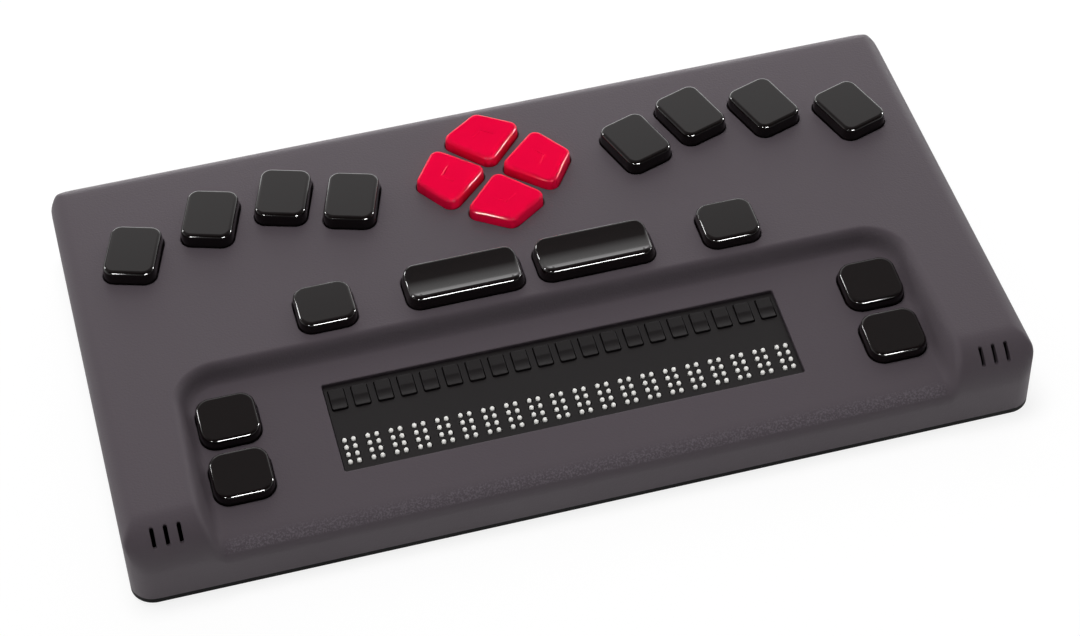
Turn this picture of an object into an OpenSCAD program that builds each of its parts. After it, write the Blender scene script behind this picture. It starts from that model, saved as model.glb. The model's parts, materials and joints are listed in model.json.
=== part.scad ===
// Free-standing braille display with a braille keyboard.
// X runs to the right, Y towards the rear and Z up, in millimetres.
// The origin lies on the table, under the middle of the casing.

/* [Casing] */
// Width of the casing
body_w = 251.6; // [246:0.2:300]
// Depth of the casing
body_d = 138.4; // [134:0.2:170]
// Height of the casing's top face above the table
body_h = 24.5; // [24.2:0.1:36]
// Corner radius of the casing, seen from above
corner_r = 6.5; // [4:0.5:9]
// Radius of the rolled front edge
front_r = 12; // [7:0.5:12]
// Radius of the side and rear top edges
edge_r = 5; // [3.5:0.5:8]
// Wall thickness of the casing
wall = 2.4; // [1.8:0.1:2.6]

/* [Base] */
// Thickness of the base plate
base_t = 2.8; // [2.4:0.1:3]
// Height of the base plate's edge that shows under the casing
base_edge = 1.5; // [0.8:0.1:2]
// Height that the feet stand out of the base plate
foot_h = 1.2; // [0.8:0.1:1.4]
// Diameter of a foot
foot_d = 12; // [8:0.5:16]
// Depth of a foot's seat in the base plate
foot_seat = 0.6; // [0.3:0.1:1]
// Distance of a foot's middle from the casing's side
foot_side = 24; // [20:0.5:40]
// Distance of a foot's middle from the casing's front or rear
foot_end = 13; // [10:0.5:20]
// Diameter of a screw's shank
screw_d = 3; // [2:0.1:3.5]
// Diameter of a screw's head
screw_head_d = 5.4; // [4.5:0.1:6]
// Height of a screw's head
screw_head_h = 1.2; // [0.8:0.1:1.4]
// Length of a screw's shank
screw_len = 7; // [4:0.5:9]

/* [Display shelf] */
// Width of the shelf's floor
shelf_w = 202; // [196:0.5:208]
// Depth of the shelf, from the front face to the foot of its rear wall
shelf_d = 55.3; // [54:0.1:57]
// Drop from the casing's top face to the shelf at the foot of its rear wall
shelf_drop = 5; // [3.5:0.1:5.3]
// Rise of the shelf's floor towards the rear, in degrees
shelf_tilt = 4.35; // [0:0.05:4.5]
// Corner radius of the shelf, seen from above
shelf_r = 9; // [5:0.5:14]
// Lean of the shelf's walls away from upright, in degrees
shelf_lean = 25; // [5:1:32]
// Radius of the shelf's front edge
shelf_front_r = 5; // [3.5:0.5:8]

/* [Braille line] */
// Distance between neighbouring cells
cell_pitch = 6.42; // [6:0.01:6.5]
// Distance between neighbouring pins of a cell
pin_pitch = 2.45; // [2.3:0.01:2.5]
// Diameter of a pin
pin_d = 1.3; // [1:0.05:1.4]
// Height of a raised pin above the cover
pin_rise = 0.7; // [0.5:0.05:1]
// Length of a pin
pin_len = 6; // [4.5:0.1:6.5]
// Distance from the foot of the shelf's rear wall to the middle of the pins
pin_back = 31.1; // [30:0.1:32]
// Depth of the cover, from front to rear
cover_d = 29.3; // [28.6:0.1:30]
// Distance from the foot of the shelf's rear wall to the cover
cover_back = 8.6; // [8.2:0.1:9]
// Depth of the cover's top below the shelf's floor
cover_sink = 1; // [0.4:0.1:1.2]
// Thickness of the cover
cover_t = 1.4; // [1:0.1:1.6]
// Width of a routing key
routing_w = 4.2; // [3.4:0.1:4.4]
// Depth of a routing key, from front to rear
routing_d = 6.8; // [5:0.1:7]
// Distance from the foot of the shelf's rear wall to the routing keys' middle
routing_back = 13.6; // [13:0.1:14]
// Travel of a routing key
routing_travel = 0.5; // [0.2:0.05:0.6]

/* [Keys] */
// Height of a dot key's or a space key's top above the casing
cap_h = 4.1; // [2.5:0.1:6]
// Height of an arrow, function or panning key's top above the face that it stands in
low_cap_h = 3.4; // [2.5:0.1:6]
// Inward slope of a key's sides, from its foot to its shoulder
cap_taper = 0.35; // [0.2:0.05:1.1]
// Rounding of a key's top edge
cap_round = 1.2; // [0.4:0.1:1.2]
// Travel of a key
key_travel = 1.5; // [0.8:0.1:1.6]
// Gap between a key and its window
key_gap = 0.3; // [0.3:0.05:0.6]
// Width and depth of a dot key
dot_key = [15, 19.2]; // [12:0.1:20]
// Turn of the dot keys, leaning in towards the rear, in degrees
hand_turn = 18.5; // [0:0.5:20]
// Distance between the dot keys of one hand, across the fingers
finger_pitch = 19.75; // [19:0.05:20.5]
// Reach of each finger's dot key past the index finger's, along the fingers
finger_reach = [0, 0.5, -8.9, -24.1]; // [-30:0.1:5]
// Distance of the index finger's dot key from the middle
index_x = 42.2; // [40:0.1:46]
// Distance of the index finger's dot key from the casing's rear
index_back = 31.4; // [29:0.1:34]
// Width and depth of a space key
space_key = [33.7, 14.3]; // [10:0.1:36]
// Distance of a space key's middle from the middle
space_x = 18.9; // [18.4:0.1:21]
// Distance of the space and function keys from the casing's front
thumb_front = 68.8; // [68:0.1:71]
// Depth of the dish along a space key's top
space_dish = 1.1; // [0.3:0.1:1.5]
// Width and depth of a function key
function_key = [16.6, 15.4]; // [12:0.1:18]
// Distance of a function key's middle from the middle
function_x = 58.2; // [52:0.1:70]
// Width and depth of a panning key
pan_key = [16.6, 15.4]; // [12:0.1:16.8]
// Distance of a panning key's middle from the middle
pan_x = 91.3; // [88:0.1:92]
// Distance from the foot of the shelf's rear wall to the rear panning keys' middle
pan_back = 14.5; // [13:0.1:17]
// Distance between the rear and the front panning keys
pan_pitch = 18.8; // [17.5:0.1:20]
// Distance of the arrow keys' common middle from the casing's rear
arrow_back = 30.2; // [30:0.1:34]
// Distance of an arrow key's inner corner from the common middle
arrow_inner = 3.05; // [2:0.05:5]
// Distance of an arrow key's side corners from the common middle
arrow_side = 14.55; // [13:0.05:16]
// Half of the distance between an arrow key's side corners
arrow_half = 10.8; // [9:0.05:11.2]
// Distance of an arrow key's outer corner from the common middle
arrow_outer = 22.75; // [21:0.05:24]
// Corner radius of the dot keys
dot_r = 3.4; // [2.2:0.1:4]
// Corner radius of the space keys
space_r = 3.8; // [2.2:0.1:5]
// Corner radius of the function keys
function_r = 4; // [2.2:0.1:5]
// Corner radius of the panning keys
pan_r = 4.3; // [2.2:0.1:5]
// Corner radius of the arrow keys
arrow_r = 2.8; // [2.2:0.1:3]

/* [Inner pieces] */
// Height of a key switch
switch_h = 4.6; // [4:0.1:4.8]
// Width of a key switch
switch_w = 10; // [8:0.5:11]
// Diameter of a key's stem
stem_d = 4; // [3:0.1:5]
// Thickness of the circuit boards
board_t = 1.6; // [1:0.1:1.8]
// Length of a cell block, from front to rear
cell_len = 40.9; // [39:0.1:41.5]
// Width and depth of the battery
battery_size = [88, 42]; // [30:1:90]
// Width, depth and height of a speaker with its back chamber
speaker_size = [6, 14, 11]; // [4:0.5:16]
// Distance of the speaker slots' middle from the middle of the casing's arm, outwards
slot_x = 0.7; // [0:0.1:2]
// Distance between neighbouring slots
slot_pitch = 3.6; // [3:0.1:4.2]
// Width of a slot
slot_w = 1.1; // [0.8:0.1:1.6]
// Length of a slot, over the rolled edge
slot_len = 5.8; // [4:0.1:8]
// Width and height of the inlet's metal shell
inlet_size = [8.9, 3.2]; // [3:0.1:12]
// Length of the inlet's metal shell
inlet_len = 10; // [8:0.1:12]

/* [Hidden] */
$fn = 48;
cell_count = 20;
// Facets of the hulled forms, of the small round pieces and of the large rolls
hull_fn = 24;
pin_fn = 24;
roll_fn = 96;
// Steps of a rounded corner, on small outlines and on the casing
corner_steps = 6;
casing_steps = 12;
// A key's rounded top edge is two slopes: how far in and up each one ends, as a share of the rounding
bend_in = 0.27;
bend_up = 0.7;
lid_in = 0.85;
// Running gaps: under a key's flange, at its switch, round a stem, round a pin and round loose pieces
flange_gap = 0.1;
rest_gap = 0.2;
stem_gap = 0.4;
pin_gap = 0.3;
fit_gap = 0.25;
// Flanges that keep the keys in, and how far a stem dips into its switch
flange_t = 1.2;
flange_w = 1;
stem_grip = 1.2;
routing_flange_t = 0.6;
routing_flange_w = 0.45;
routing_switch = [3.4, 3.4, 1.2];
routing_r = 0.6;
routing_proud = 0.6;
routing_dish = 0.35;
cell_gap = 0.12;
cell_wall = 0.9;
// Screw bosses: their gap to the side walls, and their distance from the middle, the front and the rear
boss_d = 7;
boss_gap = 3;
side_screws = [40, 7.5];
rear_screw = [50, 7.5];
front_screw = [40, 10];
// Circuit boards: margins, the cell board's height over the base, and the posts and rails that carry them
board_clear = 0.8;
board_lap = 8;
board_margin = 1;
board_stand = 1;
pan_board_margin = 4;
post_d = 6;
post_inset = 8;
side_posts = [18, 10];
rear_post = [30, 5];
rail_w = 4;
// Place of the speaker slots on the rolled edge, in degrees from its top
slot_turn = 37.5;
// How far a cutter runs past what it cuts, and how far joined forms sink into each other
over = 1;
eps = 0.01;

// Middle of the speaker slots in the casing's arm, beside the shelf
arm_x = (body_w + shelf_w) / 4 + slot_x;

// Heights above the table
z_split = foot_h + base_edge;
z_in = foot_h + base_t;
front = -body_d / 2;
rear = body_d / 2;

// Heights in a key's own frame, where 0 is the surface that the key stands in
flange_top = -wall - flange_gap;
flange_low = flange_top - flange_t;
switch_top = flange_low - key_travel - rest_gap;
board_top = switch_top - switch_h;
board_low = board_top - board_t;
stem_low = switch_top - stem_grip;

// Heights in the shelf's frame, where 0 is the floor
cover_top = -cover_sink;
cover_low = cover_top - cover_t;
cover_w = cell_count * cell_pitch;
pin_tip = cover_top + pin_rise;
pin_low = pin_tip - pin_len;
routing_flange_top = cover_low - flange_gap;
routing_flange_low = routing_flange_top - routing_flange_t;
routing_stem_low = routing_flange_low - rest_gap;
routing_switch_top = routing_stem_low - routing_travel - flange_gap;
step_top = routing_switch_top - routing_switch.z;
cell_front = -pin_back - 1.5 * pin_pitch - pin_d / 2 - pin_gap - cell_wall;
pin_pocket = [pin_pitch + pin_d + 2 * pin_gap, 3 * pin_pitch + pin_d + 2 * pin_gap];
cell_rise = -pin_back + pin_pocket.y / 2 + cell_wall;
cell_board_front = cell_front - board_margin;
cell_board_d = cell_len + 2 * board_margin;
cell_board_low = z_in + board_stand - shelf_z(front + shelf_d + cell_board_front);
cell_low = cell_board_low + board_t;

casing_grey = "#4f4d52";
base_black = "#1c1b1d";
key_black = "#0e0e10";
key_red = "#d3062f";
cover_black = "#1a1a1b";
pin_white = "#f2f0ea";
board_green = "#1f4a33";
part_grey = "#8a8a8c";

function shelf_z(y) = body_h - shelf_drop + (y - front - shelf_d) * tan(shelf_tilt);
function mean(v) = [for (p = v) 1] * v / len(v);
function turned(p, a) = [p.x * cos(a) - p.y * sin(a), p.x * sin(a) + p.y * cos(a)];
function rect_corners(size, r) = [
    [r - size.x / 2, r - size.y / 2], [size.x / 2 - r, r - size.y / 2],
    [size.x / 2 - r, size.y / 2 - r], [r - size.x / 2, size.y / 2 - r]];
function kite_corners(r) = [
    [arrow_inner + r, 0], [arrow_side, r - arrow_half], [arrow_outer - r, 0], [arrow_side, arrow_half - r]];
// Direction square to the edge from a to b, out of an outline that runs anticlockwise
function edge_angle(a, b) = atan2(b.y - a.y, b.x - a.x) - 90;
function two_digits(i) = str(i < 10 ? "0" : "", i);
function cell_x(i) = (i - (cell_count + 1) / 2) * cell_pitch;

// Place of a hand's dot key: finger 0 is the index finger, side is -1 for the left hand
function finger_place(k, side) =
    let (along = k * finger_pitch, reach = finger_reach[k])
    [side * (index_x + along * cos(hand_turn) - reach * sin(hand_turn)),
     rear - index_back + along * sin(hand_turn) + reach * cos(hand_turn)];

// Keys in the casing's top: name, place, turn, corner centres, corner radius, colour, height
left_dots = [1, 2, 3, 7];
right_dots = [4, 5, 6, 8];
dot_keys = [for (hand = [[left_dots, -1], [right_dots, 1]], k = [0:3])
    [str("dot_key_", hand[0][k]), finger_place(k, hand[1]), hand[1] * hand_turn,
     rect_corners(dot_key, dot_r), dot_r, key_black, cap_h]];
arrow_keys = [for (a = [["right", 0], ["up", 90], ["left", 180], ["down", 270]])
    [str("arrow_key_", a[0]), [0, rear - arrow_back], a[1],
     kite_corners(arrow_r), arrow_r, key_red, low_cap_h]];
space_keys = [for (s = [["left", -1], ["right", 1]])
    [str("space_key_", s[0]), [s[1] * space_x, front + thumb_front], 0,
     rect_corners(space_key, space_r), space_r, key_black, cap_h]];
function_keys = [for (s = [["left", -1], ["right", 1]])
    [str("function_key_", s[0]), [s[1] * function_x, front + thumb_front], 0,
     rect_corners(function_key, function_r), function_r, key_black, low_cap_h]];
top_keys = concat(dot_keys, arrow_keys, space_keys, function_keys);

// Keys on the shelf, placed in the shelf's frame
pan_keys = [for (s = [["left", -1], ["right", 1]], e = [["rear", 0], ["front", 1]])
    [str("panning_key_", s[0], "_", e[0]), [s[1] * pan_x, -pan_back - e[1] * pan_pitch], 0,
     rect_corners(pan_key, pan_r), pan_r, key_black, low_cap_h]];

screw_side = body_w / 2 - wall - boss_d / 2 - boss_gap;
screw_places = [for (s = [-1, 1]) each [
    [s * screw_side, front + side_screws[0]], [s * screw_side, rear - side_screws[1]],
    [s * rear_screw.x, rear - rear_screw.y], [s * front_screw.x, front + front_screw.y]]];
foot_places = [for (s = [-1, 1], y = [front + foot_end, rear - foot_end]) [s * (body_w / 2 - foot_side), y]];

// Board under the keys of the casing's top, and the posts that carry it
board_side = finger_place(3, 1).x + switch_w * (cos(hand_turn) + sin(hand_turn)) / 2 + board_clear;
board_front = front + thumb_front - board_lap;
board_rear = rear - rear_screw.y - boss_d / 2 - board_clear;
post_places = [for (s = [-1, 1]) each [
    [s * (board_side - post_inset), board_front + side_posts[0]],
    [s * (board_side - post_inset), board_rear - side_posts[1]],
    [s * rear_post.x, board_rear - rear_post.y]]];

// Frame of the shelf: its origin is the foot of the rear wall, Z stands square on the floor
module on_shelf() {
    translate([0, front + shelf_d, body_h - shelf_drop])
        rotate([shelf_tilt, 0, 0])
            children();
}

// Flat outline with round corners about the given centres, which run anticlockwise
module rounded_outline(corners, r, steps = corner_steps) {
    n = len(corners);
    polygon([for (i = [0:n - 1], k = [0:steps])
        let (c = corners[i],
             start = edge_angle(corners[(i + n - 1) % n], c),
             turn = (edge_angle(c, corners[(i + 1) % n]) - start + 720) % 360,
             a = start + turn * k / steps)
        c + r * [cos(a), sin(a)]]);
}

module rounded_slab(w, d, r, h, steps = corner_steps) {
    linear_extrude(h)
        rounded_outline(rect_corners([w, d], r), r, steps);
}

// What is cut from a top edge that runs along X, to leave a round of radius r
module edge_cut(length, r) {
    difference() {
        translate([-length / 2, -over, -r])
            cube([length, r + over, r + over]);
        translate([-length / 2 - over, r, -r])
            rotate([0, 90, 0])
                cylinder(r = r, h = length + 2 * over, $fn = roll_fn);
    }
}

// The casing's outer form, or its hollow when inset by the wall
module casing_block(inset) {
    w = body_w - 2 * inset;
    d = body_d - 2 * inset;
    top = body_h - inset;
    low = inset > 0 ? z_split - over : z_split;
    difference() {
        translate([0, 0, low])
            rounded_slab(w, d, corner_r - inset, top - low, casing_steps);
        translate([0, -d / 2, top])
            edge_cut(w + 2 * over, front_r - inset);
        translate([0, d / 2, top])
            rotate(180)
                edge_cut(w + 2 * over, edge_r - inset);
        for (s = [-1, 1])
            translate([s * w / 2, 0, top])
                rotate(s * 90)
                    edge_cut(d + 2 * over, edge_r - inset);
    }
}

// The open space over the shelf; grown by the wall, it is what the hollow keeps clear of
module shelf_cut(grow) {
    height = body_h;
    r = shelf_r + grow;
    edge = shelf_front_r;
    edge_y = (edge - shelf_d - edge * sin(shelf_tilt)) / cos(shelf_tilt);
    on_shelf() {
        hull()
            for (s = [-1, 1], y = [-shelf_r, -shelf_d - 2 * front_r])
                translate([s * (shelf_w / 2 - shelf_r), y, -grow])
                    cylinder(r1 = r, r2 = r + height * tan(shelf_lean), h = height, $fn = hull_fn);
        difference() {
            translate([-shelf_w / 2 - grow, edge_y - 2 * edge, -edge + edge * sin(shelf_tilt)])
                cube([shelf_w + 2 * grow, 2 * edge, edge]);
            translate([-shelf_w / 2 - grow - over, edge_y, -edge])
                rotate([0, 90, 0])
                    cylinder(r = edge - grow, h = shelf_w + 2 * grow + 2 * over, $fn = roll_fn);
        }
    }
}

// Window of a key through the surface that it stands in
module key_window(key) {
    translate([key[1].x, key[1].y, -2 * wall])
        rotate(key[2])
            linear_extrude(4 * wall)
                rounded_outline(key[3], key[4] + key_gap);
}

// Three slots over the rolled front edge, in front of a speaker
module speaker_slots() {
    translate([0, front + front_r, body_h - front_r])
        rotate([slot_turn, 0, 0])
            for (i = [-1:1])
                translate([i * slot_pitch, 0, front_r - 2 * wall])
                    linear_extrude(3 * wall)
                        rounded_outline([[0, slot_w / 2 - slot_len / 2], [0, slot_len / 2 - slot_w / 2]],
                                        slot_w / 2);
}

// Height of the casing's wall over a screw boss
function boss_top(p) = abs(p.x) < shelf_w / 2 && p.y < front + shelf_d
    ? shelf_z(p.y) - wall / 2
    : body_h - wall / 2;

module upper_shell() {
    color(casing_grey)
    difference() {
        union() {
            difference() {
                casing_block(0);
                difference() {
                    casing_block(wall);
                    shelf_cut(wall);
                }
            }
            for (p = screw_places)
                translate([p.x, p.y, z_in])
                    cylinder(d = boss_d, h = boss_top(p) - z_in);
        }
        shelf_cut(0);
        for (key = top_keys)
            translate([0, 0, body_h])
                key_window(key);
        on_shelf() {
            for (key = pan_keys)
                key_window(key);
            translate([0, -cover_back - cover_d / 2, -2 * wall])
                rounded_slab(cover_w + 2 * fit_gap, cover_d + 2 * fit_gap, routing_r, 4 * wall);
        }
        for (s = [-1, 1])
            translate([s * arm_x, 0, 0])
                speaker_slots();
        translate([0, rear, inlet_z()])
            inlet_form(2 * wall, fit_gap);
        for (p = screw_places)
            translate([p.x, p.y, z_in - eps])
                cylinder(d = screw_d + 2 * rest_gap, h = screw_len);
    }
}

// Rail of the base plate that carries a tilted board, from the base up to the board's underside
module board_rail(x, y, length, low) {
    intersection() {
        on_shelf()
            translate([x - length / 2, y - rail_w / 2, low - body_h])
                cube([length, rail_w, body_h]);
        translate([-body_w / 2, front, z_in - eps])
            cube([body_w, body_d, body_h]);
    }
}

module base_plate() {
    lip = wall + fit_gap;
    color(base_black)
    difference() {
        union() {
            translate([0, 0, foot_h])
                rounded_slab(body_w, body_d, corner_r, base_edge, casing_steps);
            translate([0, 0, foot_h])
                rounded_slab(body_w - 2 * lip, body_d - 2 * lip, corner_r - wall, base_t);
            for (p = post_places)
                translate([p.x, p.y, z_in - eps])
                    cylinder(d = post_d, h = body_h + board_low - z_in + eps);
            for (y = [cell_board_front + rail_w, cell_board_front + cell_board_d - rail_w])
                board_rail(0, y, cover_w - 2 * rail_w, cell_board_low);
            for (s = [-1, 1], k = [-0.5, 1.5])
                board_rail(s * pan_x, -pan_back - k * pan_pitch, switch_w, board_low);
        }
        for (p = screw_places)
            translate([p.x, p.y, 0]) {
                cylinder(d = screw_d + 2 * rest_gap, h = body_h / 2);
                cylinder(d = screw_head_d + 2 * rest_gap, h = foot_h + screw_head_h);
            }
        for (p = foot_places)
            translate([p.x, p.y, 0])
                cylinder(d = foot_d + 2 * rest_gap, h = foot_h + foot_seat);
    }
}

module cell_cover() {
    color(cover_black)
    on_shelf()
        difference() {
            translate([0, -cover_back - cover_d / 2, cover_low])
                rounded_slab(cover_w, cover_d, routing_r, cover_t);
            for (i = [1:cell_count]) {
                for (dot = [1:8])
                    translate(concat(pin_place(i, dot), cover_low - over))
                        cylinder(d = pin_d + 2 * pin_gap, h = cover_t + 2 * over, $fn = pin_fn);
                translate([cell_x(i), -routing_back, cover_low - over])
                    rounded_slab(routing_w + 2 * fit_gap, routing_d + 2 * fit_gap, routing_r,
                                 cover_t + 2 * over);
            }
        }
}

// Place of a pin: dots 1, 2, 3 and 7 run down a cell's left column, 4, 5, 6 and 8 down its right one
function pin_row(dot) = dot > 6 ? 3 : (dot - 1) % 3;
function pin_column(dot) = dot == 8 || (dot > 3 && dot < 7) ? 1 : -1;
function pin_place(i, dot) = [
    cell_x(i) + pin_column(dot) * pin_pitch / 2,
    -pin_back + (1.5 - pin_row(dot)) * pin_pitch];

module pins(dot) {
    color(pin_white)
    on_shelf()
        for (i = [1:cell_count])
            translate(concat(pin_place(i, dot), pin_low)) {
                cylinder(d = pin_d, h = pin_len - pin_d / 2, $fn = pin_fn);
                translate([0, 0, pin_len - pin_d / 2])
                    sphere(d = pin_d, $fn = pin_fn);
            }
}

module cell_blocks() {
    color(part_grey)
    on_shelf()
        for (i = [1:cell_count])
            translate([cell_x(i) - (cell_pitch - cell_gap) / 2, cell_front, cell_low])
                difference() {
                    union() {
                        cube([cell_pitch - cell_gap, cell_rise - cell_front, cover_low - cell_low]);
                        cube([cell_pitch - cell_gap, cell_len, step_top - cell_low]);
                    }
                    translate([(cell_pitch - cell_gap - pin_pocket.x) / 2, cell_wall,
                               pin_low - pin_rise - pin_gap - cell_low])
                        cube(concat(pin_pocket, body_h));
                }
}

module cell_board() {
    color(board_green)
    on_shelf()
        translate([-cover_w / 2 - board_margin, cell_board_front, cell_board_low])
            cube([cover_w + 2 * board_margin, cell_board_d, board_t]);
}

module key_boards() {
    pan_board = [switch_w + 2 * pan_board_margin, 2 * pan_pitch + rail_w];
    color(board_green) {
        translate([-board_side, board_front, body_h + board_low])
            cube([2 * board_side, board_rear - board_front, board_t]);
        translate([-inlet_size.x, board_rear - over, body_h + board_low])
            cube([2 * inlet_size.x, rear - wall - fit_gap - board_rear + over, board_t]);
        on_shelf()
            for (s = [-1, 1])
                translate([s * pan_x - pan_board.x / 2, -pan_back - (pan_pitch + pan_board.y) / 2, board_low])
                    cube(concat(pan_board, board_t));
    }
}

// Switch under a key, with the bore that the key's stem dips into
module key_switch(key) {
    depth = stem_grip + key_travel + rest_gap;
    middle = key[1] + turned(mean(key[3]), key[2]);
    translate([middle.x, middle.y, board_top])
        rotate(key[2])
            difference() {
                translate([-switch_w / 2, -switch_w / 2, 0])
                    cube([switch_w, switch_w, switch_h]);
                translate([0, 0, switch_h - depth])
                    cylinder(d = stem_d + 2 * stem_gap, h = depth + over);
            }
}

module key_switches() {
    color(part_grey) {
        for (key = top_keys)
            translate([0, 0, body_h])
                key_switch(key);
        on_shelf() {
            for (key = pan_keys)
                key_switch(key);
            for (i = [1:cell_count])
                translate([cell_x(i) - routing_switch.x / 2, -routing_back - routing_switch.y / 2, step_top])
                    cube(routing_switch);
        }
    }
}

module battery() {
    gap = 1.5;
    color("#2b3a55")
    translate([-battery_size.x / 2, board_front + gap, z_in])
        cube([battery_size.x, battery_size.y, body_h + board_low - z_in - gap]);
}

module speakers() {
    rim = 0.8;
    r = speaker_size.x / 2 - rim;
    color("#2a2a2c")
    for (s = [-1, 1])
        translate([s * arm_x, front + 2 * wall, z_in])
            difference() {
                translate([-speaker_size.x / 2, 0, 0])
                    cube(speaker_size);
                translate([0, speaker_size.x / 2, 0])
                    rotate([90, 0, 0])
                        linear_extrude(speaker_size.x)
                            rounded_outline([[0, rim + r], [0, speaker_size.z - rim - r]], r);
            }
}

// The inlet stands on the key board; its mouth is flush with the rear wall
function inlet_z() = body_h + board_top + inlet_size.y / 2;
module inlet_form(length, grow) {
    r = inlet_size.y / 2;
    translate([0, length / 2, 0])
        rotate([90, 0, 0])
            linear_extrude(length)
                rounded_outline([[r - inlet_size.x / 2, 0], [inlet_size.x / 2 - r, 0]], r + grow);
}

module usb_socket() {
    sheet = 0.35;
    tongue = 0.7;
    color("#b9babd")
    translate([0, rear - inlet_len / 2, inlet_z()])
        union() {
            difference() {
                inlet_form(inlet_len, 0);
                translate([0, 2 * sheet + eps, 0])
                    inlet_form(inlet_len - 2 * sheet, -sheet);
            }
            translate([2 * sheet + tongue - inlet_size.x / 2, -inlet_len / 2 + sheet, -tongue / 2])
                cube([inlet_size.x - 4 * sheet - 2 * tongue, inlet_len - 3 * sheet, tongue]);
        }
}

module feet() {
    color("#151515")
    for (p = foot_places)
        translate([p.x, p.y, 0])
            cylinder(d = foot_d, h = foot_h + foot_seat);
}

module screws() {
    color("#8f9194")
    for (p = screw_places)
        translate([p.x, p.y, foot_h + screw_head_h - eps]) {
            cylinder(d = screw_d, h = screw_len + eps);
            translate([0, 0, eps - screw_head_h])
                difference() {
                    cylinder(d = screw_head_d, h = screw_head_h);
                    for (a = [0, 90])
                        rotate(a)
                            translate([-screw_head_d / 3, -screw_head_d / 12, -over])
                                cube([screw_head_d / 1.5, screw_head_d / 6, screw_head_h / 2 + over]);
                }
        }
}

// A key in its own frame: the cap, the flange that keeps it in and the stem that works its switch
module key_solid(key) {
    r = key[4];
    skirt = 0.4;
    side_r = r - cap_taper;
    bend_r = side_r - cap_round * bend_in;
    lid_r = side_r - cap_round * lid_in;
    top = key[6];
    bend_z = top - cap_round * (1 - bend_up);
    middle = mean(key[3]);
    color(key[5])
    translate([key[1].x, key[1].y, 0])
        rotate(key[2]) {
            hull()
                for (p = key[3])
                    translate([p.x, p.y, 0]) {
                        translate([0, 0, flange_top])
                            cylinder(r = r, h = skirt - flange_top, $fn = hull_fn);
                        translate([0, 0, skirt])
                            cylinder(r1 = r, r2 = side_r, h = top - cap_round - skirt, $fn = hull_fn);
                        translate([0, 0, bend_z])
                            cylinder(r1 = bend_r, r2 = lid_r, h = top - bend_z, $fn = hull_fn);
                    }
            translate([0, 0, flange_low])
                linear_extrude(flange_t + eps)
                    rounded_outline(key[3], r + flange_w);
            translate([middle.x, middle.y, stem_low])
                cylinder(d = stem_d, h = flange_low - stem_low + eps);
        }
}

module top_key(key) {
    translate([0, 0, body_h])
        key_solid(key);
}

// A space key has a long shallow dish along its top
module space_key_solid(key) {
    span = space_key.y / 2 - cap_taper - cap_round;
    dish_r = (span * span + space_dish * space_dish) / (2 * space_dish);
    color(key[5])
    difference() {
        top_key(key);
        translate([key[1].x - space_key.x / 2 + cap_taper + cap_round, key[1].y,
                   body_h + cap_h - space_dish + dish_r])
            rotate([0, 90, 0])
                cylinder(r = dish_r, h = space_key.x - 2 * cap_taper - 2 * cap_round, $fn = roll_fn);
    }
}

module routing_key(i) {
    top = cover_top + routing_proud;
    dish_r = (routing_d * routing_d / 16 + routing_dish * routing_dish) / (2 * routing_dish);
    color(cover_black)
    on_shelf()
        translate([cell_x(i), -routing_back, 0]) {
            difference() {
                translate([0, 0, routing_flange_top - eps])
                    rounded_slab(routing_w, routing_d, routing_r, top - routing_flange_top + eps);
                translate([-routing_w / 2 - over, -routing_d / 4, top - routing_dish + dish_r])
                    rotate([0, 90, 0])
                        cylinder(r = dish_r, h = routing_w + 2 * over);
            }
            translate([0, 0, routing_flange_low])
                rounded_slab(routing_w + 2 * routing_flange_w, routing_d + 2 * routing_flange_w, routing_r,
                             routing_flange_t);
            translate([0, 0, routing_stem_low])
                cylinder(d = routing_w / 2, h = rest_gap + eps);
        }
}

upper_shell();
base_plate();
cell_cover();
cell_blocks();
cell_board();
key_boards();
key_switches();
battery();
speakers();
usb_socket();
feet();
screws();
for (dot = [1:8])
    pins(dot);
for (key = concat(dot_keys, arrow_keys, function_keys))
    top_key(key);
for (key = space_keys)
    space_key_solid(key);
for (key = pan_keys)
    on_shelf() key_solid(key);
for (i = [1:cell_count])
    routing_key(i);
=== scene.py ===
"""A free-standing braille display with a braille keyboard, dressed and set in a plain studio."""

import functools
import json
import math

import bpy
import numpy as np
from mathutils import Matrix, Vector
from mathutils.geometry import delaunay_2d_cdt

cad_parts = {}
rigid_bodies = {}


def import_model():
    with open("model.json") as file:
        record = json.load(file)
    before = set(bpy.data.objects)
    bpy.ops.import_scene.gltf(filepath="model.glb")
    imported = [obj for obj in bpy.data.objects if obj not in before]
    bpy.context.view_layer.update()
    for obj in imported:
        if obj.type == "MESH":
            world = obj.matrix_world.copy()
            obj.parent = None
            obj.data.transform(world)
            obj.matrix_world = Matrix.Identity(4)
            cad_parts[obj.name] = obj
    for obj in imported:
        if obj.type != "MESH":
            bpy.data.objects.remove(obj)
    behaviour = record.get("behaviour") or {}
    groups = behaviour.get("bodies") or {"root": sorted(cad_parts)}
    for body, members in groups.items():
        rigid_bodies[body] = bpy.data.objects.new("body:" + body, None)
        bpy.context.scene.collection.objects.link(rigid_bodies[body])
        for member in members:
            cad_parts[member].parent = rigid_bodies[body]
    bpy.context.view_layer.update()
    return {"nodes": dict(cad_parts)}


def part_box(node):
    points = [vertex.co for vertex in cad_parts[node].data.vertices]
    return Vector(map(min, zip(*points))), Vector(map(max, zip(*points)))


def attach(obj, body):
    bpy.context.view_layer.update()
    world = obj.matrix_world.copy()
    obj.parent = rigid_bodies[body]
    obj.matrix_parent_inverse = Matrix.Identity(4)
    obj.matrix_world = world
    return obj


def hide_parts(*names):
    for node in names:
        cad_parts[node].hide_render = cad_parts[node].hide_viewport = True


bl_info = {
    "name": "Braille display",
    "version": (1, 0, 0),
    "blender": (4, 5, 0),
    "location": "View3D > Sidebar > Braille",
    "description": "Dresses the packed braille display and sets it in a plain studio",
    "category": "Object",
}

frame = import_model()

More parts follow.
